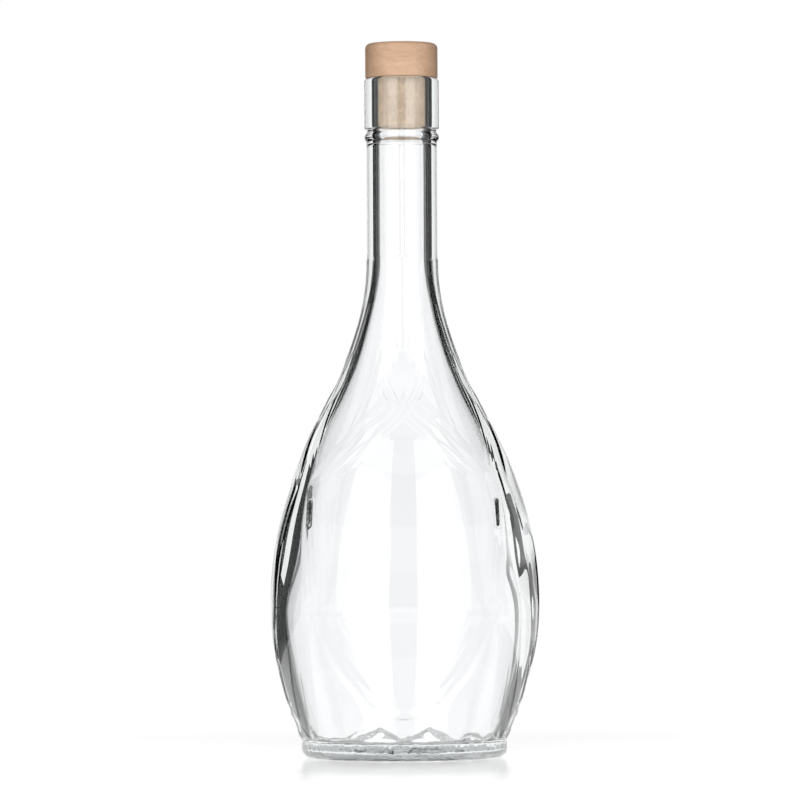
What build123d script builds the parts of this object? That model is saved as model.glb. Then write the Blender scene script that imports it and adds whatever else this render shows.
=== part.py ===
from math import atan2, cos, degrees, radians, sin
import os

from build123d import *

os.makedirs("parts", exist_ok=True)

# A clear glass bottle with a drop-shaped body, a relief of interlaced pointed bands,
# and a bar-top stopper. Millimetres, +Z up, origin at the middle of the face it stands on.

# Overall sizes of the glass
bottle_height = 261.4
body_diameter = 104.4
neck_diameter = 27.2
heel_diameter = 79.0
bore_diameter = 18.5
heel_height = 7.0
neck_foot_height = 192.0

# Mouth: a lip ring, a groove and a bead
lip_diameter = 28.8
lip_height = 19.8
lip_rounding = 1.4
groove_diameter = 26.8
groove_height = 1.2
bead_diameter = 28.8
bead_height = 3.6
lip_foot_rounding = 0.5
mouth_rounding = 0.8

# Base: a ring to stand on round a shallow push-up
base_thickness = 6.8
push_up_diameter = 62.0
push_up_rise = 4.2
heel_rounding = 3.2
floor_crown_rise = 0.8
floor_corner_rounding = 4.0

# Walls: the body's where it is thickest, and the heel's round the floor of the hollow
body_wall = 9.6
heel_wall = 4.5

# Relief: four pointed fields framed by raised bands that cross above and below them
band_rise = 0.6
field_top_height = 130.5
field_foot_height = 25.6
field_shoulder_height = 103.4
band_top_height = 159.5
band_foot_height = 10.5
leg_foot_width = 33.0
leg_foot_gap = 9.0
front_field_width = 70.8
side_field_width = 38.0

# Short sunk slots beside the shoulders of the front field
slot_length = 11.5
slot_width = 3.4
slot_depth = 1.6
slot_height = 94.0
slot_azimuth = 49.5

# Stopper
head_diameter = 27.9
head_height = 13.4
head_top_rounding = 2.0
head_foot_chamfer = 0.5
shank_clearance = 0.1
shank_length = 19.4
shank_rounding = 1.4
spigot_length = 4.0
spigot_diameter = 14.0
spigot_clearance = 0.05
glue_thickness = 0.3

# Reach of a tool body past the solid that it cuts
overrun = 5.0

body_radius = body_diameter / 2
neck_radius = neck_diameter / 2
heel_radius = heel_diameter / 2
bore_radius = bore_diameter / 2
lip_radius = lip_diameter / 2
groove_radius = groove_diameter / 2
bead_radius = bead_diameter / 2
push_up_radius = push_up_diameter / 2
lip_foot_height = bottle_height - lip_height
bead_top_height = lip_foot_height - groove_height
bead_foot_height = bead_top_height - bead_height

# Body outline from the heel to the foot of the neck: the share of the way up, the share
# of the way out from neck to belly, the share of the full band rise there, and the share
# of the way from the neck's wall to the thickest.
outline_shares = [
    (0.085, 0.826, 1.0, 0.29),
    (0.187, 0.962, 1.0, 0.43),
    (0.290, 1.000, 1.0, 0.49),
    (0.420, 0.937, 1.0, 1.00),
    (0.520, 0.806, 1.0, 0.74),
    (0.620, 0.611, 1.0, 0.39),
    (0.719, 0.358, 0.9, 0.16),
    (0.819, 0.157, 0.6, -0.03),
    (0.919, 0.030, 0.3, -0.10),
]
heel_rise_share = 0.4

# Half outlines of a relief field, from its top point to its shoulder and on to its foot
# point: shares of the field's half width, and of the height from shoulder to point.
field_top_shares = [(0.10, 0.78), (0.25, 0.61), (0.50, 0.42), (0.75, 0.19)]
field_foot_shares = [(0.96, 0.10), (0.925, 0.29), (0.82, 0.525), (0.66, 0.69), (0.36, 0.86)]
field_shoulder_share = 1.0

# The outer edge of the bands round that field, in shares of the same half width
band_top_shares = [(0.10, 0.83), (0.20, 0.715), (0.30, 0.60), (0.50, 0.43), (0.78, 0.18)]
band_foot_shares = [(1.09, 0.22), (1.04, 0.44), (0.87, 0.59), (0.60, 0.735), (0.30, 0.875)]
band_shoulder_share = 1.03


def outline_points(rise):
    """Radius and height along the body, from the heel to the foot of the neck."""
    climb = neck_foot_height - heel_height
    swell = body_radius - neck_radius
    points = [(heel_radius + rise * heel_rise_share, heel_height)]
    for height_share, swell_share, rise_share, wall_share in outline_shares:
        radius = neck_radius + swell * swell_share + rise * rise_share
        points.append((radius, heel_height + climb * height_share))
    points.append((neck_radius, neck_foot_height))
    return points


def hollow_points():
    """The body outline moved inwards by its wall, between the heel and the foot of the neck."""
    neck_wall = neck_radius - bore_radius
    points = []
    for (radius, height), shares in zip(outline_points(0)[1:-1], outline_shares):
        wall = neck_wall + (body_wall - neck_wall) * shares[-1]
        points.append((radius - wall, height))
    return points


def radius_at(height):
    """Radius of the body's skin at a height, along straight runs between outline points."""
    points = outline_points(0)
    for (radius_a, height_a), (radius_b, height_b) in zip(points, points[1:]):
        if height_a <= height <= height_b:
            return radius_a + (radius_b - radius_a) * (height - height_a) / (height_b - height_a)
    return neck_radius


def facing(azimuth, distance=0, height=0):
    """Upright plane that faces outwards at an azimuth from the front, this far from the axis."""
    across = cos(radians(azimuth))
    out = sin(radians(azimuth))
    middle = (out * distance, -across * distance, height)
    return Plane(origin=middle, x_dir=(across, out, 0), z_dir=(out, -across, 0))


def corner_at(sketch, radius, height):
    """The corner of a profile nearest to a radius and a height."""
    return sketch.vertices().sort_by_distance((radius, height))[0]


def dome_radius(half_width, rise):
    """Radius of the shallow dome that rises by this much over this half width."""
    return (half_width**2 + rise**2) / (2 * rise)


def edge_points(half_width, shares, point_height):
    """Points between a shoulder and a point of the relief, on the field's own plane."""
    reach = point_height - field_shoulder_height
    return [(half_width * width, field_shoulder_height + reach * height) for width, height in shares]


def pointed_face(half_width, shoulder_share, top_height, top_shares, foot_height, foot_shares, mode):
    """A face with a point above and below, its left half the mirror of its right."""
    shoulder = (half_width * shoulder_share, field_shoulder_height)
    with BuildLine() as outline:
        Spline((0, top_height), *edge_points(half_width, top_shares, top_height), shoulder)
        Spline(shoulder, *edge_points(half_width, foot_shares, foot_height), (0, foot_height))
        mirror(about=Plane.YZ)
    make_face(outline.edges(), mode=mode)


# The four fields, each by its azimuth from the front and its width, and the two slots
fields = [(0, front_field_width), (90, side_field_width), (180, front_field_width), (270, side_field_width)]
slot_azimuths = [slot_azimuth, -slot_azimuth]

# Raised bands: a pointed ring round each field with two legs that run on down to the heel,
# kept inside a skin that stands proud of the glass by the band's rise.
with BuildPart() as raised_bands:
    for azimuth, field_width in fields:
        half_width = field_width / 2
        leg_share = field_width / front_field_width
        with BuildSketch(facing(azimuth)):
            pointed_face(half_width, band_shoulder_share, band_top_height, band_top_shares,
                         band_foot_height, band_foot_shares, Mode.ADD)
            with BuildLine():
                corner = edge_points(half_width, band_foot_shares, band_foot_height)[-1]
                Polyline((0, band_foot_height), corner, (leg_share * leg_foot_width / 2, heel_height),
                         (leg_share * leg_foot_gap / 2, heel_height), close=True)
            leg = make_face()
            mirror(leg, about=Plane.YZ)
            pointed_face(half_width, field_shoulder_share, field_top_height, field_top_shares,
                         field_foot_height, field_foot_shares, Mode.SUBTRACT)
        extrude(amount=body_diameter)
    with BuildSketch(Plane.XZ):
        with BuildLine():
            proud = outline_points(band_rise)
            Spline(*proud)
            Polyline(proud[-1], (0, neck_foot_height), (0, heel_height), proud[0])
        make_face()
    revolve(axis=Axis.Z, mode=Mode.INTERSECT)

# The glass: outer form, relief and slots, then the hollow down to its thick floor.
with BuildPart() as bottle:
    with BuildSketch(Plane.XZ) as outer_form:
        with BuildLine():
            skin = outline_points(0)
            Spline(*skin)
            Line(skin[-1], (neck_radius, bead_foot_height))
            ThreePointArc((neck_radius, bead_foot_height),
                          (bead_radius, (bead_foot_height + bead_top_height) / 2),
                          (groove_radius, bead_top_height))
            Polyline((groove_radius, bead_top_height), (groove_radius, lip_foot_height),
                     (lip_radius, lip_foot_height), (lip_radius, bottle_height),
                     (0, bottle_height), (0, push_up_rise))
            RadiusArc((0, push_up_rise), (push_up_radius, 0), dome_radius(push_up_radius, push_up_rise))
            Polyline((push_up_radius, 0), (heel_radius, 0), skin[0])
        make_face()
        fillet(corner_at(outer_form, heel_radius, 0), heel_rounding)
        fillet(corner_at(outer_form, lip_radius, bottle_height), lip_rounding)
        fillet(corner_at(outer_form, lip_radius, lip_foot_height), lip_foot_rounding)
    revolve(axis=Axis.Z)
    add(raised_bands.part)
    for azimuth in slot_azimuths:
        drop = radius_at(slot_height - slot_length / 2) - radius_at(slot_height + slot_length / 2)
        lean = degrees(atan2(drop, slot_length))
        skin_plane = facing(azimuth, radius_at(slot_height), slot_height).rotated((-lean, 0, 0))
        with BuildSketch(skin_plane.offset(-slot_depth)):
            SlotOverall(slot_length, slot_width, rotation=90)
        extrude(amount=slot_depth + overrun, mode=Mode.SUBTRACT)
    with BuildSketch(Plane.XZ) as hollow:
        floor_radius = heel_radius - heel_wall
        crown_height = base_thickness + floor_crown_rise
        with BuildLine():
            RadiusArc((0, crown_height), (floor_radius, base_thickness),
                      dome_radius(floor_radius, floor_crown_rise))
            Spline((floor_radius, base_thickness), *hollow_points(), (bore_radius, neck_foot_height))
            Polyline((bore_radius, neck_foot_height), (bore_radius, bottle_height),
                     (0, bottle_height), (0, crown_height))
        make_face()
        fillet(corner_at(hollow, floor_radius, base_thickness), floor_corner_rounding)
    revolve(axis=Axis.Z, mode=Mode.SUBTRACT)
    mouth_edge = bottle.edges().filter_by(GeomType.CIRCLE).group_by(Axis.Z)[-1].sort_by(SortBy.RADIUS)[0]
    fillet(mouth_edge, mouth_rounding)

# The stopper's head, with the blind recess that takes the spigot and its glue
with BuildPart() as stopper_head:
    with BuildSketch(Plane.XY.offset(bottle_height)):
        Circle(head_diameter / 2)
    extrude(amount=head_height)
    rims = stopper_head.edges().filter_by(GeomType.CIRCLE).sort_by(Axis.Z)
    fillet(rims[-1], head_top_rounding)
    chamfer(rims[0], head_foot_chamfer)
    with BuildSketch(Plane.XY.offset(bottle_height)):
        Circle(spigot_diameter / 2 + spigot_clearance)
    extrude(amount=spigot_length + glue_thickness, mode=Mode.SUBTRACT)

# The shank that fills the bore, with a spigot that enters the head
with BuildPart() as stopper_shank:
    with BuildSketch(Plane.XY.offset(bottle_height)):
        Circle(bore_radius - shank_clearance)
    extrude(amount=-shank_length)
    fillet(stopper_shank.edges().sort_by(Axis.Z)[0], shank_rounding)
    with BuildSketch(Plane.XY.offset(bottle_height)):
        Circle(spigot_diameter / 2)
    extrude(amount=spigot_length)

# The disc of glue between the spigot and the bottom of the recess
with BuildPart() as stopper_glue:
    with BuildSketch(Plane.XY.offset(bottle_height + spigot_length)):
        Circle(spigot_diameter / 2)
    extrude(amount=glue_thickness)

bottle.part.label = "bottle"
export_step(bottle.part, "parts/bottle.step")
stopper_head.part.label = "stopper_head"
export_step(stopper_head.part, "parts/stopper_head.step")
stopper_shank.part.label = "stopper_shank"
export_step(stopper_shank.part, "parts/stopper_shank.step")
stopper_glue.part.label = "stopper_glue"
export_step(stopper_glue.part, "parts/stopper_glue.step")
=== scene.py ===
"""Genie bottle: clear moulded glass with an interlaced relief, closed by a stopper with a beech head.

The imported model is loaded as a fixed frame. Each piece is built in metres in that frame, and the
sizes that the model doesn't give are properties with defaults.
"""

import math

import bpy
import numpy as np
from bpy.props import FloatProperty, FloatVectorProperty, IntProperty, PointerProperty
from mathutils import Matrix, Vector, noise


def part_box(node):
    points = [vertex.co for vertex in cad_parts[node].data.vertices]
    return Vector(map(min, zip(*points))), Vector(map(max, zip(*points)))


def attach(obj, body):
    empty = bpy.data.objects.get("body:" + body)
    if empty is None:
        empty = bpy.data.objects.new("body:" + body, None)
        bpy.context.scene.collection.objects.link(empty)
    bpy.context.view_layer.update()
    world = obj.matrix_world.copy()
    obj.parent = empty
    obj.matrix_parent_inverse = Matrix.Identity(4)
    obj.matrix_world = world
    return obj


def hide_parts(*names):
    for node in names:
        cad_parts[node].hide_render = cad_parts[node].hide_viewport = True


bl_info = {
    "name": "Genie Bottle",
    "version": (1, 0, 0),
    "blender": (4, 5, 0),
    "location": "View3D > Sidebar > Genie Bottle",
    "description": "Builds a clear glass bottle with interlaced relief and its wooden-headed stopper",
    "category": "Object",
}

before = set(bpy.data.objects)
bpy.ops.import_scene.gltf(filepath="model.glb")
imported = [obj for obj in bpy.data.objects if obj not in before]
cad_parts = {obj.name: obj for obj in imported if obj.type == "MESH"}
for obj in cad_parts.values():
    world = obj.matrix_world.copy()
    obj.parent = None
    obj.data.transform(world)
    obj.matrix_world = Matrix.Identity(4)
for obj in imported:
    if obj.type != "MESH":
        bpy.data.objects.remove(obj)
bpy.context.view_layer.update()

MM = 0.001
WHITE = (1.0, 1.0, 1.0, 1.0)

glass_low, glass_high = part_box("bottle")
head_low, head_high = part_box("stopper_head")
shank_low, shank_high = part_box("stopper_shank")

# Room that the belly leaves inside the frame's box
SPARE = 0.02 * MM

# Body outline between the heel and the foot of the neck: the share of the way up, the share of
# the way out from neck to belly, and the share of the way from the neck's wall to the thickest.
BODY_SHARES = (
    (0.085, 0.826, 0.29),
    (0.187, 0.962, 0.43),
    (0.290, 1.000, 0.49),
    (0.420, 0.937, 1.00),
    (0.520, 0.806, 0.74),
    (0.620, 0.611, 0.39),
    (0.719, 0.358, 0.16),
    (0.819, 0.157, -0.03),
    (0.919, 0.030, -0.10),
)

# Edges of the relief round one field, as shares of the field's half width and of the
# height from its shoulder to its point. Past the point an edge crosses to the other side.
FIELD_TOP_SHARES = ((1.0, 0.0), (0.717, 0.15), (0.44, 0.44), (0.21, 0.74), (0.0, 1.0), (-0.20, 1.49))
FIELD_FOOT_SHARES = ((1.0, 0.0), (0.96, 0.095), (0.925, 0.275), (0.866, 0.528), (0.677, 0.684),
                     (0.533, 0.783), (0.385, 0.863), (0.198, 0.946), (0.0, 1.0), (-0.148, 1.03),
                     (-0.342, 1.072), (-0.735, 1.19))
BAND_TOP_SHARES = ((1.03, 0.0), (0.99, 0.066), (0.587, 0.375), (0.21, 0.66), (0.199, 0.712),
                   (0.113, 0.863), (0.0, 1.0))
BAND_FOOT_SHARES = ((1.03, 0.0), (1.09, 0.20), (1.054, 0.45), (0.93, 0.574), (0.73, 0.722),
                    (0.533, 0.815), (0.34, 0.915), (0.0, 1.0))

# The line where the bands' upper ends run out into the neck, as shares of the same kind
FLARE_SHARES = ((0.62, 0.30), (0.478, 0.51), (0.38, 0.644), (0.31, 0.781), (0.241, 0.925),
                (0.212, 1.08), (0.207, 1.36))

# Section of a band: the share of the way from its inner to its outer edge, and of its rise
SECTION_SHARES = ((0.0, 0.0), (0.15, 0.15), (0.35, 0.78), (0.46, 0.62), (0.69, 1.0), (1.0, 0.0))

# Small dents where the bands cross at the foot: places across and up from the crossing's
# middle, half width and half height, as shares of the dents' reach
DENT_SHARES = ((0.0, -0.2, 0.9, 0.23), (-1.0, 0.22, 0.2, 0.16), (1.0, 0.28, 0.22, 0.15))

# Steepness of the dents' sides, as a share of their half size
DENT_SLOPE = 0.7

# Rise of the bands round the two side fields, as a share of the front's
SIDE_FIELD_RISE = 0.6

# Top of the bands' lower crossing, and the lengths over which forms of the glass fade in or out
LOWER_CROSSING_TOP = 50 * MM
LOWER_CROSSING_FADE = 25 * MM
UPPER_CROSSING_FADE = 14 * MM
FLARE_FOOT_FADE = 10 * MM
FLARE_TOP_FADE = 25 * MM
SEAM_FADE = 4 * MM
HEEL_FADE = 2 * MM
RIM_FADE = 1.5 * MM
STREAK_FADE = 3 * MM
RIPPLE_FADE = 30 * MM

# Depth of the inner wall's slow unevenness
WALL_RIPPLE = 0.12 * MM

# Narrowest width that a band or a field is worked out for
THINNEST = 0.1 * MM

# Outlines of the flags and of the low grey cards that stand behind the bottle: across from its axis
# and up from the floor, in millimetres. Only glass shows them: painted shade for its dark edge lines and
# grey foot
LEFT_FLAG = ((600, 25), (60, 25), (60, 35), (68, 45), (73, 60), (70, 75), (60, 88), (60, 116),
             (74, 116), (76, 90), (96, 90), (96, 140), (45, 156), (34, 185), (34, 400), (600, 400))
RIGHT_FLAG = ((72, 25), (62, 25), (60, 75), (58, 82), (60, 86), (66, 89.5), (70, 92.5), (72, 95.5),
              (78, 97), (84, 97.5), (90, 98), (90, 104), (89, 110), (91, 122), (88, 138), (60, 150),
              (45, 165), (32, 195), (32, 400), (600, 400), (600, 142), (112, 138), (103, 122),
              (100, 110), (99, 104), (99, 96), (90, 93.5), (82, 92), (75, 91), (70, 88.5), (66, 84),
              (68, 80), (71, 75))
LOW_FLAG = ((60, 1), (60, 25), (600, 25), (600, 1))
BASE_FLAG = ((-60, 1), (-60, 4.5), (60, 4.5), (60, 1))

# Heights between which the dark flags fade from grey to dark
FLAG_FADE = (0.022, 0.036)

# Levels of the floor by the distance from the bottle's axis: seen directly, its gloss, and its glow
# through glass, which is dimmer near the axis as a painted shadow round the bottle's foot
FLOOR_GLOW = ((0.20, 0.84), (0.55, 1.0))
FLOOR_GLOSS = ((0.12, 0.75), (0.24, 0.0))
FLOOR_THROUGH_GLASS_PAINTED_SHADOW = ((0.034, 0.30), (0.055, 0.62), (0.140, 0.97))

# The grey room: the turn from the back at which its walls start on either side, the number of their
# edges, and the turn from the camera within which glass mirrors them
ROOM_START = math.radians(72.0)
ROOM_EDGES = 9
ROOM_MIRRORED = math.radians(55.0)


def length(name, default, description):
    return FloatProperty(name=name, description=description, default=default, min=0.0,
                         unit="LENGTH", subtype="DISTANCE")


def angle(name, default, description):
    return FloatProperty(name=name, description=description, default=default,
                         unit="ROTATION", subtype="ANGLE")


def fraction(name, default, description):
    return FloatProperty(name=name, description=description, default=default, min=0.0, max=1.0,
                         subtype="FACTOR")


def amount(name, default, description):
    return FloatProperty(name=name, description=description, default=default, min=0.0)


def colour(name, default, description):
    return FloatVectorProperty(name=name, description=description, default=default, size=3,
                               min=0.0, max=1.0, subtype="COLOR")


class BottleSizes(bpy.types.PropertyGroup):
    """Sizes of the glass that the frame's boxes don't give"""

    body_diameter: length("Body diameter", glass_high.y - glass_low.y - SPARE, "Widest part of the belly")
    height: length("Height", glass_high.z, "From the standing face to the mouth")
    neck_diameter: length("Neck diameter", 27.2 * MM, "Straight part of the neck")
    heel_diameter: length("Heel diameter", 79.0 * MM, "Upright rim just above the standing face")
    bore_diameter: length("Bore diameter", 18.5 * MM, "Hole that takes the stopper's shank")
    heel_height: length("Heel height", 7.0 * MM, "Top of the upright rim")
    neck_foot_height: length("Neck foot height", 192.0 * MM, "Where the body's curve meets the neck")
    lip_diameter: length("Lip diameter", 28.8 * MM, "Ring round the mouth")
    lip_height: length("Lip height", 19.8 * MM, "Depth of the ring round the mouth")
    lip_rounding: length("Lip rounding", 1.4 * MM, "Radius of the ring's top edge")
    groove_diameter: length("Groove diameter", 26.8 * MM, "Groove between ring and bead")
    groove_height: length("Groove height", 1.2 * MM, "Width of the groove")
    bead_diameter: length("Bead diameter", 28.8 * MM, "Bead under the groove")
    bead_height: length("Bead height", 3.6 * MM, "Width of the bead")
    foot_rounding: length("Lip foot rounding", 0.5 * MM, "Radius of the ring's lower edge")
    mouth_rounding: length("Mouth rounding", 0.8 * MM, "Radius inside the mouth")
    base_thickness: length("Base thickness", 6.8 * MM, "Height of the hollow's floor at its rim")
    push_up_diameter: length("Push-up diameter", 62.0 * MM, "Inside of the ring that the bottle stands on")
    push_up_rise: length("Push-up rise", 4.2 * MM, "Height of the push-up under the floor")
    heel_rounding: length("Heel rounding", 3.8 * MM, "Radius under the upright rim")
    floor_crown_rise: length("Floor crown rise", 0.8 * MM, "Rise of the hollow's floor to its middle")
    floor_corner: length("Floor corner", 4.0 * MM, "Radius round the hollow's floor")
    body_wall: length("Body wall", 9.6 * MM, "Glass of the body where it is thickest")
    heel_wall: length("Heel wall", 4.5 * MM, "Glass round the hollow's floor")
    mottle_size: length("Mottle size", 3.5 * MM, "Size of the streaks in the base")
    mottle_depth: length("Mottle depth", 0.65 * MM, "Depth of the streaks in the base")
    rim_mottle: length("Rim mottle", 0.22 * MM, "Depth of the streaks round the upright rim")


class ReliefSizes(bpy.types.PropertyGroup):
    """The interlaced bands, the fields between them, the dents, the slots and the seam"""

    rise: length("Band rise", 0.6 * MM, "How far the bands stand proud at most")
    full_width: length("Full band width", 6.0 * MM, "Width at which a band reaches its full rise")
    side_share: fraction("Side share", 0.3, "Share of their rise that bands keep between crossings")
    panel_sink: length("Panel sink", 1.0 * MM, "How far the side fields are sunk in their middle")
    ridge_rise: length("Ridge rise", 0.16 * MM, "Height of the fine ridge along the bands' edges")
    ridge_width: length("Ridge width", 0.7 * MM, "Half width of that ridge")
    dent_reach: length("Dent reach", 11.0 * MM, "From the middle of the lower crossing to its side dents")
    dent_height: length("Dent height", 20.0 * MM, "Height of the middle of the lower crossing")
    dent_depth: length("Dent depth", 0.3 * MM, "Depth of the dents there")
    edge_width: length("Edge width", 0.7 * MM, "Width of the drop where the bands cross")
    field_top: length("Field top", 130.5 * MM, "Height of a field's upper point")
    field_foot: length("Field foot", 20.6 * MM, "Height of a field's lower point")
    shoulder: length("Shoulder", 103.4 * MM, "Height at which a field is widest")
    band_top: length("Band top", 159.5 * MM, "Height at which two bands run out together")
    band_foot: length("Band foot", 6.5 * MM, "Height of the lower crossing's lowest point")
    front_width: length("Front field width", 70.8 * MM, "Width of the front and back fields")
    side_width: length("Side field width", 38.0 * MM, "Width of the two side fields")
    slot_length: length("Slot length", 11.5 * MM, "Length of the sunk slots")
    slot_width: length("Slot width", 2.9 * MM, "Width of the sunk slots")
    slot_depth: length("Slot depth", 1.1 * MM, "Depth of the sunk slots")
    slot_height: length("Slot height", 94.0 * MM, "Height of the middle of the slots")
    slot_across: length("Slot across", 35.2 * MM, "From the axis across to the middle of the slots")
    slot_lean: angle("Slot lean", math.radians(2.0), "How far the slots' lower ends lean out")
    seam_rise: length("Seam rise", 0.12 * MM, "Height of the mould's parting line")
    seam_width: length("Seam width", 0.5 * MM, "Width of the mould's parting line")


class StopperSizes(bpy.types.PropertyGroup):
    """Details of the stopper; its overall size is the frame's"""

    top_rounding: length("Top rounding", 2.0 * MM, "Radius round the head's top")
    foot_rounding: length("Foot rounding", 0.5 * MM, "Radius round the head's foot")
    shank_rounding: length("Shank rounding", 1.4 * MM, "Radius round the shank's end")
    turns: IntProperty(name="Turns", description="Faces round each turned piece", default=192, min=24)


class Finishes(bpy.types.PropertyGroup):
    """Colours of the glass, the wood, the shank and the glue"""

    glass_clear: colour("Clear glass", (0.992, 0.996, 1.0), "Colour of the glass seen straight on")
    glass_tint: colour("Glass tint", (0.86, 0.92, 0.92), "Colour that thick glass takes on")
    # Painted shade: the glass's colour darkens to this tone where it is seen edge on
    glass_edge_shade: colour("Glass edge", (0.62, 0.66, 0.66), "Tone of the glass where it is seen edge on")
    beech_light: colour("Light beech", (0.80, 0.53, 0.355), "Early wood")
    beech_dark: colour("Dark beech", (0.63, 0.39, 0.245), "Late wood and flecks")
    shank_light: colour("Light shank", (0.92, 0.73, 0.54), "Body of the shank")
    shank_dark: colour("Dark shank", (0.68, 0.50, 0.35), "Grain of the shank")
    glue: colour("Glue", (0.80, 0.74, 0.58), "Set glue")


class StageSizes(bpy.types.PropertyGroup):
    """Camera, lamps, flags, cards and floor"""

    camera_distance: length("Camera distance", 2.042, "From the lens to the bottle's axis")
    camera_height: length("Camera height", 98.0 * MM, "Height of the lens")
    view_height: length("View height", 137.4 * MM, "Height on the axis that the camera looks at")
    camera_side: length("Camera side", 1.3 * MM, "How far the axis stands right of the picture's middle")
    camera_roll: angle("Camera roll", 0.0046, "Lean of the camera about its view")
    picture_width: length("Picture width", 308.0 * MM, "Width that the picture takes in at the axis")
    floor_radius: length("Floor radius", 4.0, "Reach of the pale floor")
    floor_colour: colour("Floor colour", (0.80, 0.80, 0.80), "Pale floor")
    lamp_power: amount("Lamp power", 10.8, "Output of each tall lamp in watts, as the mean of the two")
    lamp_lead: fraction("Lamp lead", 0.05, "How much the left lamp is above that mean, and the right below")
    lamp_width: length("Lamp width", 0.97, "Width of each tall lamp")
    lamp_reach: length("Lamp reach", 1.5, "Height of each tall lamp")
    lamp_distance: length("Lamp distance", 1.2, "From the lamps to the bottle's axis")
    lamp_lift: length("Lamp lift", 0.25, "Height of the lamps' middle over the view's middle")
    lamp_azimuth: angle("Lamp azimuth", math.radians(20.0), "Turn of the lamps from the camera")
    # The lamps' cards light nothing and glow only for the glass: painted reflections of the lamps, set
    # further round than the lamps themselves
    card_azimuth: angle("Card azimuth", math.radians(36.0), "Turn of the lamps' cards from the camera")
    painted_lamp_reflection: amount("Lamp card", 2.5, "Level that glass shows where a lamp is")
    grey_card: amount("Grey card", 0.35, "Level that glass shows of the room round the camera")
    # The dark flags, the low flags, the floor cards and the base card only show in glass, as painted shade
    # there
    dark_card: amount("Dark card", 0.005, "Level of the dark flags behind the bottle")
    low_flag: amount("Low flag", 0.17, "Level of the flags' lowest stretch and of the cards on the floor")
    base_shade_card: amount("Base flag", 0.52, "Level of the low grey card behind the base")
    room_radius: length("Room radius", 1.95, "From the grey walls to the bottle's axis")
    wall_height: length("Wall height", 1.6, "Top of the grey walls over the view's middle")
    flag_back: length("Flag back", 40.0 * MM, "From the axis back to the flags")
    floor_card_start: length("Floor card start", 45.0 * MM, "From the axis across to the floor's cards")
    card_lift: length("Card lift", 1.0 * MM, "Height of those cards over the floor")
    ambient: amount("Ambient", 0.02, "Light from all round on what isn't glass")


class Signal:
    """A value in a node graph. Sums and products with it become Math nodes."""

    def __init__(self, graph, socket):
        self.graph = graph
        self.socket = socket

    def math(self, operation, *values):
        return self.graph.node("ShaderNodeMath", {"operation": operation}, dict(enumerate(values)))

    def __add__(self, other):
        return self.math("ADD", self, other)

    def __radd__(self, other):
        return self.math("ADD", other, self)

    def __sub__(self, other):
        return self.math("SUBTRACT", self, other)

    def __rsub__(self, other):
        return self.math("SUBTRACT", other, self)

    def __mul__(self, other):
        return self.math("MULTIPLY", self, other)

    def __rmul__(self, other):
        return self.math("MULTIPLY", other, self)

    def __pow__(self, other):
        return self.math("POWER", self, other)

    def larger(self, other):
        return self.math("MAXIMUM", self, other)


class Graph:
    """The node tree of a material or of the world, emptied and ready to fill."""

    def __init__(self, owner):
        owner.use_nodes = True
        self.tree = owner.node_tree
        self.tree.nodes.clear()

    def node(self, kind, settings=None, sockets=None, out=0):
        """Adds a node, applies its settings, fills its sockets by name or number, and gives an output."""
        made = self.tree.nodes.new(kind)
        for name, value in (settings or {}).items():
            if name == "stops":
                self.set_stops(made.color_ramp, value)
            else:
                setattr(made, name, value)
        for name, value in (sockets or {}).items():
            if isinstance(value, Signal):
                self.tree.links.new(value.socket, made.inputs[name])
            else:
                made.inputs[name].default_value = value
        return Signal(self, made.outputs[out]) if len(made.outputs) else None

    @staticmethod
    def set_stops(ramp, stops):
        """Puts a ramp's grey stops in their places."""
        while len(ramp.elements) < len(stops):
            ramp.elements.new(0.5)
        for element, (place, value) in zip(ramp.elements, stops):
            element.position = place
            element.color = (value, value, value, 1.0)

    def mix(self, factor, first, second):
        """Blends two colours. The node's sockets share their names, so they go by number."""
        sockets = {0: factor, 6: rgba(first), 7: rgba(second)}
        return self.node("ShaderNodeMix", {"data_type": "RGBA"}, sockets, out=2)

    def ramp(self, value, *stops):
        """Maps a value through stops of place and level."""
        return self.node("ShaderNodeValToRGB", {"stops": stops}, {"Fac": value})

    def noise(self, where, scale, detail=2.0, roughness=0.5, distortion=0.0):
        """Noise with about this many features to the metre."""
        sockets = {"Vector": where, "Scale": scale, "Detail": detail, "Roughness": roughness,
                   "Distortion": distortion}
        return self.node("ShaderNodeTexNoise", None, sockets)

    def here(self):
        """Object coordinates, in metres."""
        return self.node("ShaderNodeTexCoord", out="Object")

    def stretched(self, scale):
        """Object coordinates scaled along each axis."""
        return self.node("ShaderNodeVectorMath", {"operation": "MULTIPLY"}, {0: self.here(), 1: scale})

    def distance(self, where):
        """How far a place is from the object's origin."""
        return self.node("ShaderNodeVectorMath", {"operation": "LENGTH"}, {0: where}, out="Value")

    def bump(self, height, strength, distance):
        """A normal from a height, for a skin this deep."""
        sockets = {"Strength": strength, "Distance": distance, "Height": height}
        return self.node("ShaderNodeBump", None, sockets)

    def glow(self, strength):
        """White light of this strength."""
        return self.node("ShaderNodeEmission", None, {"Strength": strength})

    def finish(self, sockets, **others):
        """Ends a material in a principled shader, and in what else its output takes."""
        surface = self.node("ShaderNodeBsdfPrincipled", None, sockets)
        self.node("ShaderNodeOutputMaterial", None, {"Surface": surface, **others})


def rgba(value):
    """A colour with its alpha, or a link as it is."""
    return value if isinstance(value, Signal) else (*value, 1.0)


def material(name):
    """A new material and its graph."""
    made = bpy.data.materials.new(name)
    return made, Graph(made)


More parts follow.
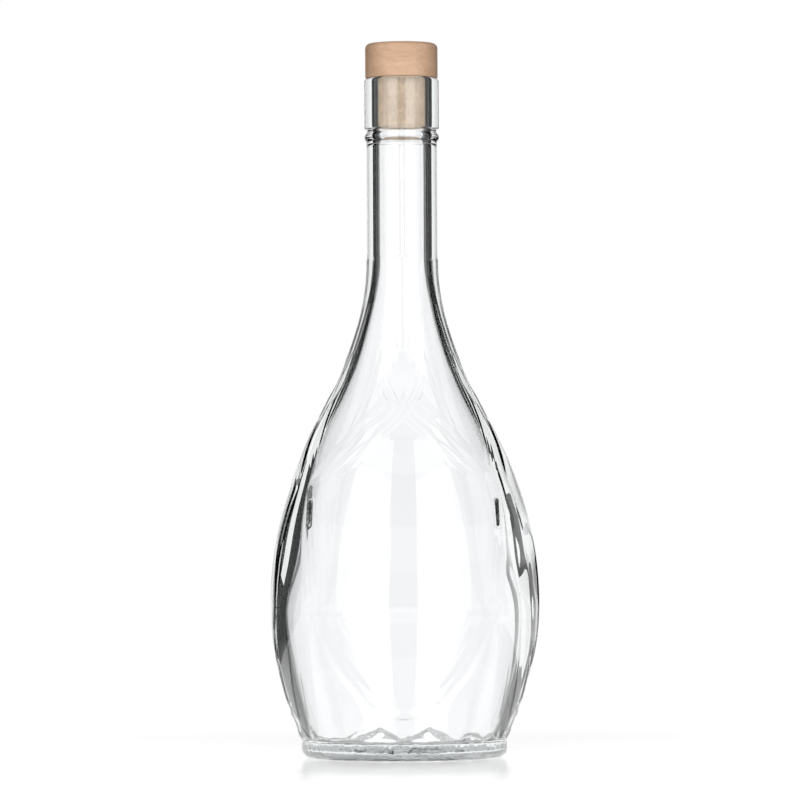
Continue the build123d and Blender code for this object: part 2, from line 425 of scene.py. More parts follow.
def glass_material(finishes):
    """Clear flint glass: a faint ripple of the mould in its skin, and painted shade that darkens its colour
    where it is seen edge on.
    """
    made, graph = material("flint_glass")
    where = graph.stretched((1.0, 1.0, 0.45))
    ripple = graph.noise(where, 90.0, roughness=0.45)
    pits = graph.noise(where, 900.0, detail=1.0)
    # Painted shade: the colour darkens towards the edge tone as the glass turns edge on to the view
    facing = graph.node("ShaderNodeLayerWeight", None, {"Blend": 0.5}, out="Facing")
    sockets = {
        "Base Color": graph.mix(facing ** 5.0, finishes.glass_clear, finishes.glass_edge_shade),
        "Roughness": graph.noise(where, 60.0) * 0.02,
        "IOR": 1.52,
        "Transmission Weight": 1.0,
        "Normal": graph.bump(ripple * 0.9 + pits * 0.1, 0.02, 0.3 * MM),
    }
    tint = {"Color": rgba(finishes.glass_tint), "Density": 8.0}
    graph.finish(sockets, Volume=graph.node("ShaderNodeVolumeAbsorption", None, tint))
    return made


def beech_material(finishes):
    """Fine sanded beech: faint growth lines, short dark flecks and a matt seal."""
    made, graph = material("beech")
    along = graph.stretched((0.12, 1.0, 1.0))
    wander = graph.noise(along, 160.0, detail=3.0, roughness=0.55, distortion=0.6)
    lines = graph.noise(along, 900.0, roughness=0.6)
    specks = graph.noise(graph.stretched((0.3, 1.0, 1.0)), 2600.0, roughness=0.6)
    flecks = graph.ramp(specks, (0.56, 0.0), (0.70, 1.0))
    cloud = graph.noise(graph.here(), 110.0)
    grain = wander * 0.45 + lines * 0.35 + cloud * 0.2
    depth = graph.ramp(grain, (0.36, 0.0), (0.64, 1.0))
    wood = graph.mix(depth, finishes.beech_light, finishes.beech_dark)
    sockets = {
        "Base Color": graph.mix(flecks * 0.45, wood, finishes.beech_dark),
        "Roughness": 0.52 + grain * 0.16,
        "Specular IOR Level": 0.35,
        "Normal": graph.bump(lines * 0.6 - flecks * 0.5, 0.35, 0.12 * MM),
    }
    graph.finish(sockets)
    return made


def shank_material(finishes):
    """Closed-cell synthetic cork: even beige with fine mottling."""
    made, graph = material("synthetic_cork")
    where = graph.stretched((1.0, 1.0, 0.5))
    cells = graph.noise(where, 1500.0, roughness=0.6)
    cloud = graph.noise(where, 220.0)
    tone = graph.ramp(cells * 0.5 + cloud * 0.5, (0.38, 0.0), (0.64, 1.0))
    sockets = {
        "Base Color": graph.mix(tone, finishes.shank_light, finishes.shank_dark),
        "Roughness": 0.6 + cells * 0.2,
        "Normal": graph.bump(cells, 0.3, 0.1 * MM),
    }
    graph.finish(sockets)
    return made


def glue_material(finishes):
    """Set hot glue, slightly cloudy."""
    made, graph = material("glue")
    cloud = graph.noise(graph.here(), 400.0)
    sockets = {
        "Base Color": graph.mix(cloud, finishes.glue, finishes.shank_light),
        "Roughness": 0.3 + cloud * 0.2,
    }
    graph.finish(sockets)
    return made


def smooth_line(points, step):
    """Points about a step apart along a smooth curve through these, upright at its last point."""
    points = np.array(points, float)
    spans = np.hypot(*np.diff(points, axis=0).T)
    count = len(points)
    system = np.zeros((count, count))
    right = np.zeros((count, 2))
    system[0, 0] = 1.0
    for i in range(1, count - 1):
        before, after = spans[i - 1], spans[i]
        system[i, i - 1:i + 2] = before, 2 * (before + after), after
        right[i] = 6 * ((points[i + 1] - points[i]) / after - (points[i] - points[i - 1]) / before)
    last = spans[-1]
    end_slope = np.array((0.0, math.copysign(1.0, points[-1, 1] - points[-2, 1])))
    system[-1, -2:] = last, 2 * last
    right[-1] = 6 * (end_slope - (points[-1] - points[-2]) / last)
    bend = np.linalg.solve(system, right)
    line = [points[0]]
    for i, span in enumerate(spans):
        for share in np.linspace(0.0, 1.0, max(2, round(span / step)) + 1)[1:]:
            back = 1.0 - share
            even = back * points[i] + share * points[i + 1]
            curve = (back**3 - back) * bend[i] + (share**3 - share) * bend[i + 1]
            line.append(even + curve * span**2 / 6)
    return line


def arc(centre, radius, start, end, count):
    """Points on an arc, by its centre, radius and end angles in degrees."""
    turns = np.radians(np.linspace(start, end, count))
    return [np.array((centre[0] + radius * math.cos(t), centre[1] + radius * math.sin(t))) for t in turns]


def straight(start, end, count):
    """Evenly spaced points from one point to another."""
    start, end = np.array(start), np.array(end)
    return [start + (end - start) * share for share in np.linspace(0.0, 1.0, count)]


def dome(half_width, rise, foot, count):
    """Points from the middle of a shallow dome out to its rim."""
    radius = (half_width**2 + rise**2) / (2 * rise)
    across = np.linspace(0.0, half_width, count)
    return [np.array((x, foot + rise - radius + math.sqrt(radius**2 - x**2))) for x in across]


def joined(*runs, closest=1e-7):
    """Runs of points end to end, without doubled points."""
    line = []
    for run in runs:
        for point in run:
            if not line or np.hypot(*(point - line[-1])) > closest:
                line.append(point)
    return np.array(line)


def full_turn(count):
    """Evenly spaced angles round a full turn."""
    return np.linspace(0.0, 2 * math.pi, count, endpoint=False)


def body_points(sizes):
    """Radius and height along the body, heel to neck foot."""
    neck = sizes.neck_diameter / 2
    swell = sizes.body_diameter / 2 - neck
    climb = sizes.neck_foot_height - sizes.heel_height
    between = [(neck + swell * out, sizes.heel_height + climb * up) for up, out, _ in BODY_SHARES]
    return [(sizes.heel_diameter / 2, sizes.heel_height), *between, (neck, sizes.neck_foot_height)]


def hollow_points(sizes):
    """Radius and height along the hollow, from the rim of its floor to the straight bore."""
    neck_wall = (sizes.neck_diameter - sizes.bore_diameter) / 2
    points = [(sizes.heel_diameter / 2 - sizes.heel_wall, sizes.base_thickness)]
    for (radius, height), (_, _, thicker) in zip(body_points(sizes)[1:], BODY_SHARES):
        points.append((radius - neck_wall - (sizes.body_wall - neck_wall) * thicker, height))
    return [*points, (sizes.bore_diameter / 2, sizes.neck_foot_height)]


def edge_share(heights, shoulder, top, foot, top_shares, foot_shares):
    """Half width of a relief edge at each height, as a share of the field's half width."""
    up = [(shoulder + (top - shoulder) * h, w) for w, h in top_shares]
    down = [(shoulder + (foot - shoulder) * h, w) for w, h in foot_shares]
    places, widths = zip(*sorted(down + up[1:]))
    return rounded_steps(np.array(places), np.array(widths), heights)


def rounded_steps(places, values, where):
    """Smooth interpolation that never runs past its points, for places in rising order."""
    spans = np.diff(places)
    slopes = np.diff(values) / spans
    bends = np.zeros(len(places))
    same = slopes[:-1] * slopes[1:] > 0
    before, after = 2 * spans[1:] + spans[:-1], spans[1:] + 2 * spans[:-1]
    safe = np.where(same, slopes[:-1], 1.0), np.where(same, slopes[1:], 1.0)
    bends[1:-1] = np.where(same, (before + after) / (before / safe[0] + after / safe[1]), 0.0)
    bends[0], bends[-1] = slopes[0], slopes[-1]
    where = np.clip(where, places[0], places[-1])
    i = np.clip(np.searchsorted(places, where) - 1, 0, len(spans) - 1)
    t = (where - places[i]) / spans[i]
    return ((1 + 2 * t) * (1 - t)**2 * values[i] + t * (1 - t)**2 * spans[i] * bends[i]
            + t * t * (3 - 2 * t) * values[i + 1] + t * t * (t - 1) * spans[i] * bends[i + 1])


def soft_step(distance, width):
    """0 below zero and 1 above the width, with an easy slope between."""
    share = np.clip(distance / width, 0.0, 1.0)
    return share * share * (3 - 2 * share)


def softened(grid):
    """The grid with its creases rounded, closed from its last column to its first."""
    grid = (np.roll(grid, 1, axis=1) + 2 * grid + np.roll(grid, -1, axis=1)) / 4
    tall = np.concatenate((grid[:1], grid, grid[-1:]))
    return (tall[:-2] + 2 * grid + tall[2:]) / 4


def edge_and_lean(relief, height, *edge, step=0.05 * MM):
    """A relief edge's share of the field's half width at each height, and how fast that changes."""
    here = edge_share(height, relief.shoulder, *edge)
    above = edge_share(height + step, relief.shoulder, *edge)
    return here, (above - here) / step


def ridge(relief, distance):
    """A fine ridge along a line, by the distance from it."""
    return relief.ridge_rise * np.clip(1.0 - np.abs(distance) / relief.ridge_width, 0.0, 1.0)


def flare_ridge(relief, height, across, half):
    """The ridge along which the bands' upper ends run out into the neck."""
    widths, places = np.array(FLARE_SHARES).T
    places = relief.shoulder + (relief.band_top - relief.shoulder) * places
    rising = soft_step(height - places[0], FLARE_FOOT_FADE)
    ending = soft_step(places[-1] - height, FLARE_TOP_FADE)
    off_line = np.abs(across) - rounded_steps(places, widths, height) * half
    return rising * ending * ridge(relief, off_line)


def bands_height(relief, across, half, edges, raised):
    """The two bands round a field over what is raised there already, with the drop where they cross."""
    inner, outer = [share * half for share, _ in edges]
    inner_run, outer_run = [np.sqrt(1 + (lean * half)**2) for _, lean in edges]
    sections, rises = np.array(SECTION_SHARES).T
    inside, ridges = [], []
    for side in (-1, 1):
        from_inner = (across * side - inner) / inner_run
        from_outer = (outer - across * side) / outer_run
        width = np.maximum(from_inner + from_outer, THINNEST)
        section = np.interp(from_inner / width, sections, rises)
        band = relief.rise * section * np.minimum(width / relief.full_width, 1.0)
        inside.append(np.minimum(from_inner, from_outer))
        ridges.append(np.where(from_outer > 0, ridge(relief, from_inner), 0.0))
        raised = np.maximum(raised, np.where(inside[-1] > 0, band, 0.0))
    raised = raised * (1.0 - soft_step(np.minimum(*inside), relief.edge_width))
    return raised + ridges[0] + ridges[1]


def panel(relief, across, half, inner):
    """How far a side field is sunk between its bands."""
    reach = np.maximum(inner * half, THINNEST)
    share = np.maximum(1.0 - (across / reach)**2, 0.0)
    return share * relief.panel_sink * np.minimum(reach / half, 1.0)


def dents(relief, across, height):
    """Depth of the small dents where the bands cross at the foot."""
    depth = 0.0
    for place, up, half_width, half_height in DENT_SHARES:
        sideways = (across / relief.dent_reach - place) / half_width
        upwards = ((height - relief.dent_height) / relief.dent_reach - up) / half_height
        depth = depth + relief.dent_depth * soft_step(1.0 - np.hypot(sideways, upwards), DENT_SLOPE)
    return depth


def slots(relief, radius, height, turn, least_facing=0.1):
    """Depth of the two slots, which only the front has."""
    above = height - relief.slot_height
    past = np.maximum(np.abs(above) - (relief.slot_length - relief.slot_width) / 2, 0)
    place = relief.slot_across - above * math.tan(relief.slot_lean)
    across = (np.abs(radius * np.sin(turn)) - place) / np.maximum(np.cos(turn), least_facing)
    away = np.hypot(across, past) / (relief.slot_width / 2)
    return relief.slot_depth * np.where(np.cos(turn) > 0, np.clip(1.0 - away**2, 0.0, 1.0), 0.0)


def relief_height(relief, radius, height, turn):
    """How far the glass stands proud of its plain outline, for grids of radius, height and turn."""
    field = edge_and_lean(relief, height, relief.field_top, relief.field_foot,
                          FIELD_TOP_SHARES, FIELD_FOOT_SHARES)
    band = edge_and_lean(relief, height, relief.band_top, relief.band_foot,
                         BAND_TOP_SHARES, BAND_FOOT_SHARES)
    crossing = (soft_step(height - relief.shoulder, UPPER_CROSSING_FADE)
                + soft_step(LOWER_CROSSING_TOP - height, LOWER_CROSSING_FADE))
    strength = relief.side_share + (1.0 - relief.side_share) * crossing
    proud = np.zeros(np.broadcast(radius, turn).shape)
    for azimuth in (0, 90, 180, 270):
        on_side = azimuth in (90, 270)
        half = (relief.side_width if on_side else relief.front_width) / 2
        offset = turn - math.radians(azimuth)
        ahead = np.cos(offset) > 0
        across = radius * np.sin(offset)
        flare = flare_ridge(relief, height, across, half)
        raised = bands_height(relief, across, half, (field, band), flare) * strength
        if on_side:
            raised = raised * SIDE_FIELD_RISE
        proud = np.maximum(proud, np.where(ahead, raised, 0.0))
        if on_side:
            proud = proud - np.where(ahead, panel(relief, across, half, field[0]), 0.0)
    proud = softened(proud) - dents(relief, radius * np.sin(turn), height)
    return proud - slots(relief, radius, height, turn)


def seam_height(relief, radius, height, turn):
    """The mould's parting line, front and back, which fades out over the fields."""
    across = np.abs(radius * np.sin(turn))
    over = (soft_step(height - relief.field_top, SEAM_FADE)
            + soft_step(relief.field_foot - height, SEAM_FADE))
    return relief.seam_rise * soft_step(relief.seam_width - across, relief.seam_width) * over


def ripple(height, turn, depth, waves_round=1.3, waves_up=36.0):
    """A slow unevenness of blown glass, for columns of heights and rows of turns."""
    grid = np.zeros((height.shape[0], turn.shape[1]))
    for i, z in enumerate(height[:, 0]):
        for j, t in enumerate(turn[0]):
            place = Vector((math.cos(t) * waves_round, math.sin(t) * waves_round, z * waves_up))
            grid[i, j] = noise.noise(place)
    return grid * depth


def mottle(line, turns, coarseness, depth, squeeze=2.5, finer=2.3, finer_share=0.5):
    """Short streaks where a cold mould chills thick glass, along a line and round its turns."""
    grid = np.zeros((len(line), turns.shape[1]))
    for i, (radius, height) in enumerate(line):
        for j, turn in enumerate(turns[0]):
            x, y = radius * math.cos(turn), radius * math.sin(turn) * squeeze
            place = Vector((x, y, height)) / coarseness
            grid[i, j] = noise.noise(place) + finer_share * noise.noise(place * finer)
    return grid * depth


def ring_grid(line, turns, proud=0.0):
    """Vertices of a turned surface, one row for each point of its line."""
    radius, height = line[:, :1], line[:, 1:]
    ahead = np.gradient(line, axis=0)
    ahead /= np.hypot(ahead[:, 0], ahead[:, 1])[:, None]
    out = radius + proud * ahead[:, 1:]
    up = height - proud * ahead[:, :1] + np.zeros_like(turns)
    return np.stack((out * np.sin(turns), -out * np.cos(turns), up), axis=-1)


def ring_faces(first, rows, count):
    """Quads between rows of vertices, which are numbered on from the first."""
    numbers = first + np.arange(rows * count).reshape(rows, count)
    following = np.roll(numbers, -1, axis=1)
    quads = np.stack((numbers[:-1], following[:-1], following[1:], numbers[1:]), axis=-1)
    return quads.reshape(-1, 4).tolist()


def mesh_object(name, vertices, faces, finish, body, node):
    """A smooth-shaded piece that stands for a node and rides on its body."""
    mesh = bpy.data.meshes.new(name)
    mesh.from_pydata(vertices, [], faces)
    mesh.validate()
    mesh.shade_smooth()
    mesh.materials.append(finish)
    made = bpy.data.objects.new(name, mesh)
    bpy.context.scene.collection.objects.link(made)
    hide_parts(node)
    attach(made, body)
    return made


def caps(total, count):
    """Triangles that close the first and last rings of a piece to the two points after its vertices."""
    last = total - count
    faces = []
    for j in range(count):
        k = (j + 1) % count
        faces += [(total, k, j), (total + 1, last + j, last + k)]
    return faces


def lathe(line, count):
    """Vertices and faces of a closed turned solid whose line starts and ends on the axis."""
    inner = line[1:-1]
    vertices = ring_grid(inner, full_turn(count)[None, :]).reshape(-1, 3).tolist()
    faces = ring_faces(0, len(inner), count) + caps(len(vertices), count)
    return vertices + [(0.0, 0.0, line[0, 1]), (0.0, 0.0, line[-1, 1])], faces


class GENIE_OT_bottle(bpy.types.Operator):
    """Build the glass with its relief, slots, seam, bead, lip and thick base"""

    bl_idname = "genie.bottle"
    bl_label = "Glass Bottle"

    # The outside has more vertices round it than the hollow and the underside. They meet in flat
    # joins at the mouth and under the foot, where the outside starts with a flat of its own.
    # A bead fullness of 1 gives the bead the section of a sine's arch, and less a fuller one.
    fine_turns = 576
    coarse_turns = 144
    outer_step = 0.5 * MM
    inner_step = 2.0 * MM
    mouth_join = 0.6 * MM
    foot_join = 0.5 * MM
    foot_flat = 1.0 * MM
    bead_fullness = 0.8

    def outer_line(self, sizes):
        """The outside from the standing ring up to the mouth's rim."""
        heel, neck, lip = sizes.heel_diameter / 2, sizes.neck_diameter / 2, sizes.lip_diameter / 2
        lip_foot = sizes.height - sizes.lip_height
        bead_top = lip_foot - sizes.groove_height
        bead_foot = bead_top - sizes.bead_height
        groove = sizes.groove_diameter / 2
        turn = sizes.heel_rounding
        small = sizes.foot_rounding
        big = sizes.lip_rounding
        bulge = sizes.bead_diameter / 2 - (groove + neck) / 2
        bead = [np.array((neck + (groove - neck) * s + bulge * math.sin(math.pi * s)**self.bead_fullness,
                          bead_foot + sizes.bead_height * s)) for s in np.linspace(0.0, 1.0, 17)]
        return joined(
            straight((heel - turn - self.foot_flat, 0.0), (heel - turn, 0.0), 3),
            arc((heel - turn, turn), turn, -90, 0, 9),
            straight((heel, turn), (heel, sizes.heel_height), 5),
            smooth_line(body_points(sizes), self.outer_step),
            straight((neck, sizes.neck_foot_height), (neck, bead_foot), 24),
            bead,
            straight((groove, bead_top), (groove, lip_foot), 4),
            straight((groove, lip_foot), (lip - small, lip_foot), 4),
            arc((lip - small, lip_foot + small), small, -90, 0, 5),
            straight((lip, lip_foot + small), (lip, sizes.height - big), 12),
            arc((lip - big, sizes.height - big), big, 0, 90, 9),
        )

    def inner_line(self, sizes):
        """The inside from the mouth's rim down to the middle of the floor."""
        bore = sizes.bore_diameter / 2
        turn = sizes.mouth_rounding
        corner = sizes.floor_corner
        wall = np.array(smooth_line(hollow_points(sizes), self.inner_step))
        lean = math.atan2(wall[2, 0] - wall[0, 0], wall[2, 1] - wall[0, 1])
        middle = wall[0, 0] + corner * (math.tan(lean) - 1 / math.cos(lean))
        above = wall[:, 1] > sizes.base_thickness + corner
        return joined(
            straight((sizes.lip_diameter / 2 - sizes.lip_rounding - self.mouth_join, sizes.height),
                     (bore + turn, sizes.height), 4),
            arc((bore + turn, sizes.height - turn), turn, 90, 180, 6),
            straight((bore, sizes.height - turn), (bore, sizes.neck_foot_height), 40),
            wall[above][::-1],
            arc((middle, sizes.base_thickness + corner), corner, -math.degrees(lean), -90, 9),
            dome(middle, sizes.floor_crown_rise, sizes.base_thickness, 14)[::-1],
        )

    def base_line(self, sizes, rim):
        """The underside from the middle of the push-up out to the standing ring."""
        half = sizes.push_up_diameter / 2
        return joined(dome(half, sizes.push_up_rise, 0.0, 16), straight((half, 0.0), (rim, 0.0), 5))

    def outer_grid(self, sizes, relief, line):
        """Vertices of the outside, with its relief, its seam and the streaks round its rim."""
        turn = full_turn(self.fine_turns)[None, :]
        radius, height = line[:, :1], line[:, 1:]
        above_heel = height > sizes.heel_height
        on_body = above_heel & (height < sizes.neck_foot_height)
        proud = np.where(on_body, relief_height(relief, radius, height, turn), 0.0)
        proud = proud * soft_step(height - sizes.heel_height, HEEL_FADE)
        below_lip = above_heel & (height < sizes.height - sizes.lip_height)
        proud = proud + np.where(below_lip, seam_height(relief, radius, height, turn), 0.0)
        rim = line[:, 1] < sizes.heel_height
        chill = np.abs(mottle(line[rim], turn, sizes.mottle_size / 2, sizes.rim_mottle))
        fade = soft_step(height[rim], RIM_FADE) * soft_step(sizes.heel_height - height[rim], RIM_FADE)
        proud[rim] -= chill * fade
        return ring_grid(line, turn, proud)

    def inner_grid(self, sizes, line):
        """Vertices of the inside, with the unevenness of its wall and the streaks of its floor."""
        turn = full_turn(self.coarse_turns)[None, :]
        height = line[:, 1:]
        below_bore = soft_step(sizes.neck_foot_height - height, RIPPLE_FADE)
        on_floor = soft_step(sizes.base_thickness + sizes.floor_corner - height, STREAK_FADE)
        chill = mottle(line, turn, sizes.mottle_size, sizes.mottle_depth) * on_floor
        return ring_grid(line, turn, ripple(height, turn, WALL_RIPPLE) * below_bore + chill)

    def base_grid(self, sizes, line):
        """Vertices of the underside, with the streaks of its push-up."""
        turn = full_turn(self.coarse_turns)[None, :]
        on_dome = soft_step(sizes.push_up_diameter / 2 - line[:, :1], STREAK_FADE)
        chill = mottle(line, turn, sizes.mottle_size, sizes.mottle_depth) * on_dome
        return ring_grid(line, turn, -np.abs(chill))

    def execute(self, context):
        sizes = context.scene.genie_bottle
        fine, coarse = self.fine_turns, self.coarse_turns
        outer = self.outer_line(sizes)
        inner = self.inner_line(sizes)[:-1]
        base = self.base_line(sizes, outer[0, 0] - self.foot_join)[1:]
        grids = (self.base_grid(sizes, base), self.outer_grid(sizes, context.scene.genie_relief, outer),
                 self.inner_grid(sizes, inner))
        vertices = np.concatenate([grid.reshape(-1, 3) for grid in grids]).tolist()
        outer_first = len(base) * coarse
        inner_first = outer_first + len(outer) * fine
        faces = ring_faces(0, len(base), coarse)
        faces += ring_faces(outer_first, len(outer), fine)
        faces += ring_faces(inner_first, len(inner), coarse)
        faces += self.stitch(outer_first - coarse, outer_first, False)
        faces += self.stitch(inner_first, inner_first - fine, True)
        faces += caps(len(vertices), coarse)
        for height in (sizes.push_up_rise, sizes.base_thickness + sizes.floor_crown_rise):
            vertices.append((0.0, 0.0, height))
        mesh_object("glass_bottle", vertices, faces, glass_material(context.scene.genie_finishes),
                    "bottle", "bottle")
        return {"FINISHED"}

    def stitch(self, coarse_first, fine_first, flipped):
        """Faces that join a coarse ring of vertices to a fine one."""
        ratio = self.fine_turns // self.coarse_turns
        faces = []
        for j in range(self.coarse_turns):
            k = (j + 1) % self.coarse_turns
            run = [fine_first + (j * ratio + s) % self.fine_turns for s in range(ratio + 1)]
            face = [coarse_first + j, coarse_first + k] + run[::-1]
            faces.append(face[::-1] if flipped else face)
        return faces


class GENIE_OT_head(bpy.types.Operator):
    """Build the stopper's turned beech head"""

    bl_idname = "genie.head"
    bl_label = "Stopper Head"

    def execute(self, context):
        sizes = context.scene.genie_stopper
        radius = head_high.x
        low, high = head_low.z, head_high.z
        top, foot = sizes.top_rounding, sizes.foot_rounding
        line = joined(
            straight((0.0, low), (radius - foot, low), 8),
            arc((radius - foot, low + foot), foot, -90, 0, 5),
            straight((radius, low + foot), (radius, high - top), 14),
            arc((radius - top, high - top), top, 0, 90, 12),
            straight((radius - top, high), (0.0, high), 14),
        )
        vertices, faces = lathe(line, sizes.turns)
        mesh_object("beech_head", vertices, faces, beech_material(context.scene.genie_finishes),
                    "stopper", "stopper_head")
        return {"FINISHED"}


class GENIE_OT_shank(bpy.types.Operator):
    """Build the stopper's shank and finish the glue that holds it in the head"""

    bl_idname = "genie.shank"
    bl_label = "Stopper Shank"

    def execute(self, context):
        sizes = context.scene.genie_stopper
        finishes = context.scene.genie_finishes
        radius, low = shank_high.x, shank_low.z
        high = head_low.z
        end = sizes.shank_rounding
        line = joined(
            straight((0.0, low), (radius - end, low), 8),
            arc((radius - end, low + end), end, -90, 0, 10),
            straight((radius, low + end), (radius, high), 16),
            straight((radius, high), (0.0, high), 6),
        )
        vertices, faces = lathe(line, sizes.turns)
        mesh_object("cork_shank", vertices, faces, shank_material(finishes),
                    "stopper", "stopper_shank")
        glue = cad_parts["stopper_glue"]
        glue.data.materials.clear()
        glue.data.materials.append(glue_material(finishes))
        return {"FINISHED"}


def flat_piece(name, corners, finish):
    """A flat piece of the studio, which isn't part of the bottle."""
    mesh = bpy.data.meshes.new(name)
    mesh.from_pydata(corners, [], [tuple(range(len(corners)))])
    mesh.materials.append(finish)
    made = bpy.data.objects.new(name, mesh)
    bpy.context.scene.collection.objects.link(made)
    return made


class GENIE_OT_stage(bpy.types.Operator):
    """Set the surround, the floor, the camera, two tall lamps, and the cards that only glass shows: flags
    and floor cards of painted shade, painted lamp reflections and a grey room
    """

    bl_idname = "genie.stage"
    bl_label = "Studio Stage"

    # Width of the camera's sensor in millimetres, and how far the camera sees in metres
    sensor_width = 36.0
    clip_end = 50.0

    floor_corners = 96

    def execute(self, context):
        stage = context.scene.genie_stage
        self.surround(context.scene, stage)
        self.floor(stage)
        camera = self.camera(context.scene, stage)
        rig = self.rig(context.scene, stage, camera)
        for side in (-1, 1):
            self.lamp(camera, rig, stage, side)
        self.cards(rig, stage)
        context.scene.view_settings.view_transform = "Standard"
        return {"FINISHED"}

    def seen_directly(self, graph):
        """1 for rays that show the surround itself: straight on, mirrored or through glass."""
        straight_on, mirrored, through = [graph.node("ShaderNodeLightPath", out=ray) for ray in (
            "Is Camera Ray", "Is Glossy Ray", "Is Transmission Ray")]
        return straight_on.larger(mirrored.larger(through))

    def surround(self, scene, stage):
        """White where it is seen, and dim as a light."""
        world = bpy.data.worlds.new("white_surround")
        scene.world = world
        graph = Graph(world)
        strength = stage.ambient + self.seen_directly(graph) * (1.0 - stage.ambient)
        light = graph.node("ShaderNodeBackground", None, {"Color": WHITE, "Strength": strength})
        graph.node("ShaderNodeOutputWorld", None, {"Surface": light})

    def floor(self, stage):
        """A pale floor that takes a shadow, mirrors the bottle's foot, and glows through glass with a
        painted shadow near the axis.
        """
        made, graph = material("pale_floor")
        off_axis = graph.distance(graph.here())
        matt = graph.node("ShaderNodeBsdfDiffuse", None, {"Color": rgba(stage.floor_colour)})
        glow = graph.glow(self.seen_directly(graph) * graph.ramp(off_axis, *FLOOR_GLOW))
        shaded = graph.node("ShaderNodeAddShader", None, {0: matt, 1: glow})
        shine = graph.node("ShaderNodeBsdfAnisotropic", None, {"Color": WHITE, "Roughness": 0.16})
        fresnel = graph.node("ShaderNodeFresnel", None, {"IOR": 1.2})
        from_foot = graph.distance(graph.stretched((2.0, 1.0, 1.0)))
        gloss = fresnel * graph.ramp(from_foot, *FLOOR_GLOSS)
        surface = graph.node("ShaderNodeMixShader", None, {0: gloss, 1: shaded, 2: shine})
        through = graph.node("ShaderNodeLightPath", out="Is Transmission Ray")
        # Through glass the floor glows dimmer near the bottle's axis: a painted shadow
        light = graph.glow(graph.ramp(off_axis, *FLOOR_THROUGH_GLASS_PAINTED_SHADOW))
        surface = graph.node("ShaderNodeMixShader", None, {0: through, 1: surface, 2: light})
        graph.node("ShaderNodeOutputMaterial", None, {"Surface": surface})
        reach = stage.floor_radius
        turns = full_turn(self.floor_corners)
        flat_piece("floor", [(reach * math.cos(t), reach * math.sin(t), 0.0) for t in turns], made)

    def camera(self, scene, stage):
        """The photograph's camera, which looks slightly up."""
        tilt = math.atan2(stage.view_height - stage.camera_height, stage.camera_distance)
        data = bpy.data.cameras.new("camera")
        data.sensor_width = self.sensor_width
        data.lens = self.sensor_width * stage.camera_distance / stage.picture_width
        data.clip_end = self.clip_end
        camera = bpy.data.objects.new("camera", data)
        camera.location = (-stage.camera_side, -stage.camera_distance, stage.camera_height)
        camera.rotation_euler = (math.pi / 2 + tilt, stage.camera_roll, 0.0)
        scene.collection.objects.link(camera)
        scene.camera = camera
        return camera

    def rig(self, scene, stage, camera):
        """An upright stand on the bottle's axis that faces the camera and carries the cards."""
        rig = bpy.data.objects.new("card_rig", None)
        rig.location = (-stage.camera_side, 0.0, stage.view_height)
        turning = rig.constraints.new("LOCKED_TRACK")
        turning.target = camera
        turning.lock_axis = "LOCK_Z"
        turning.track_axis = "TRACK_NEGATIVE_Y"
        scene.collection.objects.link(rig)
        return rig

    def lamp(self, camera, rig, stage, side):
        """A tall upright lamp beside the camera, which glass doesn't show, with a glowing card that the
        glass shows in its place as a painted reflection of the lamp.
        """
        data = bpy.data.lights.new("tall_lamp", "AREA")
        data.shape = "RECTANGLE"
        data.size, data.size_y = stage.lamp_width, stage.lamp_reach
        data.energy = stage.lamp_power * (1.0 - side * stage.lamp_lead)
        lamp = bpy.data.objects.new("tall_lamp", data)
        lamp.visible_glossy = lamp.visible_transmission = False
        bpy.context.scene.collection.objects.link(lamp)
        x, y = stage.lamp_width / 2, stage.lamp_reach / 2
        # The card glows only for the glass, as a painted reflection of the lamp; the lamp itself is hidden
        # from glass
        card = self.card("painted_lamp_reflection", rig, stage, stage.painted_lamp_reflection, [
            (-x, -y, 0.0), (x, -y, 0.0), (x, y, 0.0), (-x, y, 0.0)], mirrored=True)
        for piece, azimuth in ((lamp, stage.lamp_azimuth), (card, stage.card_azimuth)):
            away, distance = side * azimuth, stage.lamp_distance
            piece.parent = camera
            piece.location = (distance * math.sin(away), stage.lamp_lift,
                              distance * math.cos(away) - stage.camera_distance)
            piece.rotation_euler = (0.0, away, 0.0)

    def card(self, name, rig, stage, level, corners, mirrored=False):
        """A card that only glass shows, through itself or also mirrored, placed from the view's middle.

        Its level is a number, or stops of height over the floor and level.
        """
        made, graph = material(name)
        if isinstance(level, tuple):
            up = graph.node("ShaderNodeSeparateXYZ", None, {0: graph.here()}, out="Y")
            level = graph.ramp(up + stage.view_height, *level)
        graph.node("ShaderNodeOutputMaterial", None, {"Surface": graph.glow(level)})
        card = flat_piece(name, corners, made)
        card.parent = rig
        card.rotation_euler = (math.pi / 2, 0.0, 0.0)
        card.visible_camera = card.visible_diffuse = card.visible_shadow = False
        card.visible_glossy = mirrored
        return card

    def flag(self, rig, stage, side, level, outline, mirrored=False):
        """A flag or a low card just behind the bottle, cut to an outline, that paints shade into the glass.
        """
        corners = [(side * across * MM, up * MM - stage.view_height, -stage.flag_back)
                   for across, up in outline]
        self.card("painted_shade_flag", rig, stage, level, corners, mirrored)

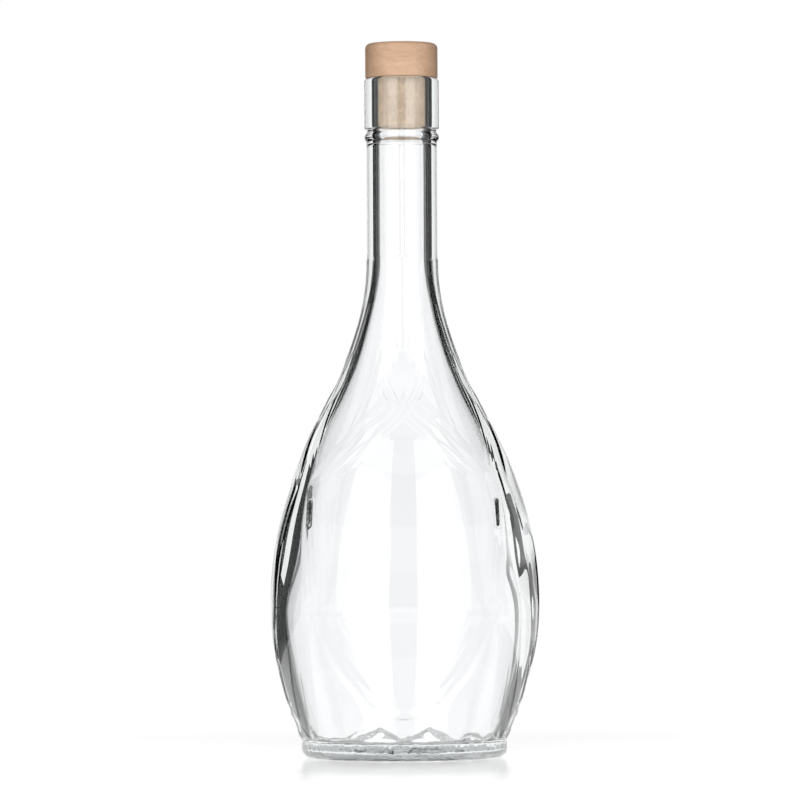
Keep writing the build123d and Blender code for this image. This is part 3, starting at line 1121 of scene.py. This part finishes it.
    def cards(self, rig, stage):
        """Dark flags behind the bottle and grey cards on the floor, painted shade that only the glass
        shows, and a grey room round the camera.
        """
        low, high = -stage.view_height, stage.wall_height
        foot = low + stage.card_lift
        room = stage.room_radius
        fading = tuple(zip(FLAG_FADE, (stage.low_flag, stage.dark_card)))
        for side, outline in ((-1, LEFT_FLAG), (1, RIGHT_FLAG)):
            self.flag(rig, stage, side, fading, outline, mirrored=True)
            self.flag(rig, stage, side, stage.low_flag, LOW_FLAG)
            near, far = side * stage.floor_card_start, side * room
            self.card("painted_shade_floor_card", rig, stage, stage.low_flag, [
                (near, foot, 0.0), (near, foot, -stage.flag_back),
                (far, foot, -stage.flag_back), (far, foot, 0.0)])
        self.flag(rig, stage, 1, stage.base_shade_card, BASE_FLAG)
        turns = np.linspace(ROOM_START, 2 * math.pi - ROOM_START, ROOM_EDGES)
        for start, stop in zip(turns[:-1], turns[1:]):
            x0, x1 = room * math.sin(start), room * math.sin(stop)
            y0, y1 = -room * math.cos(start), -room * math.cos(stop)
            mirrored = bool(abs(math.pi - (start + stop) / 2) < ROOM_MIRRORED)
            self.card("grey_card", rig, stage, stage.grey_card, [
                (x0, low, y0), (x1, low, y1), (x1, high, y1), (x0, high, y0)], mirrored)


class GENIE_PT_panel(bpy.types.Panel):
    """Lists the pieces of the bottle and their sizes"""

    bl_idname = "GENIE_PT_panel"
    bl_label = "Genie Bottle"
    bl_space_type = "VIEW_3D"
    bl_region_type = "UI"
    bl_category = "Genie Bottle"

    def draw(self, context):
        for operator in OPERATORS:
            self.layout.operator(operator.bl_idname)
        for name in GROUPS:
            group = getattr(context.scene, name)
            box = self.layout.box()
            for prop in group.__annotations__:
                box.prop(group, prop)


GROUPS = {
    "genie_bottle": BottleSizes,
    "genie_relief": ReliefSizes,
    "genie_stopper": StopperSizes,
    "genie_finishes": Finishes,
    "genie_stage": StageSizes,
}
OPERATORS = (GENIE_OT_bottle, GENIE_OT_head, GENIE_OT_shank, GENIE_OT_stage)


def register():
    for cls in (*GROUPS.values(), *OPERATORS, GENIE_PT_panel):
        bpy.utils.register_class(cls)
    for name, group in GROUPS.items():
        setattr(bpy.types.Scene, name, PointerProperty(type=group))


def unregister():
    for name in GROUPS:
        delattr(bpy.types.Scene, name)
    for cls in reversed((*GROUPS.values(), *OPERATORS, GENIE_PT_panel)):
        bpy.utils.unregister_class(cls)


def main():
    register()
    bpy.ops.genie.bottle()
    bpy.ops.genie.head()
    bpy.ops.genie.shank()
    bpy.ops.genie.stage()


if __name__ == "__main__":
    main()
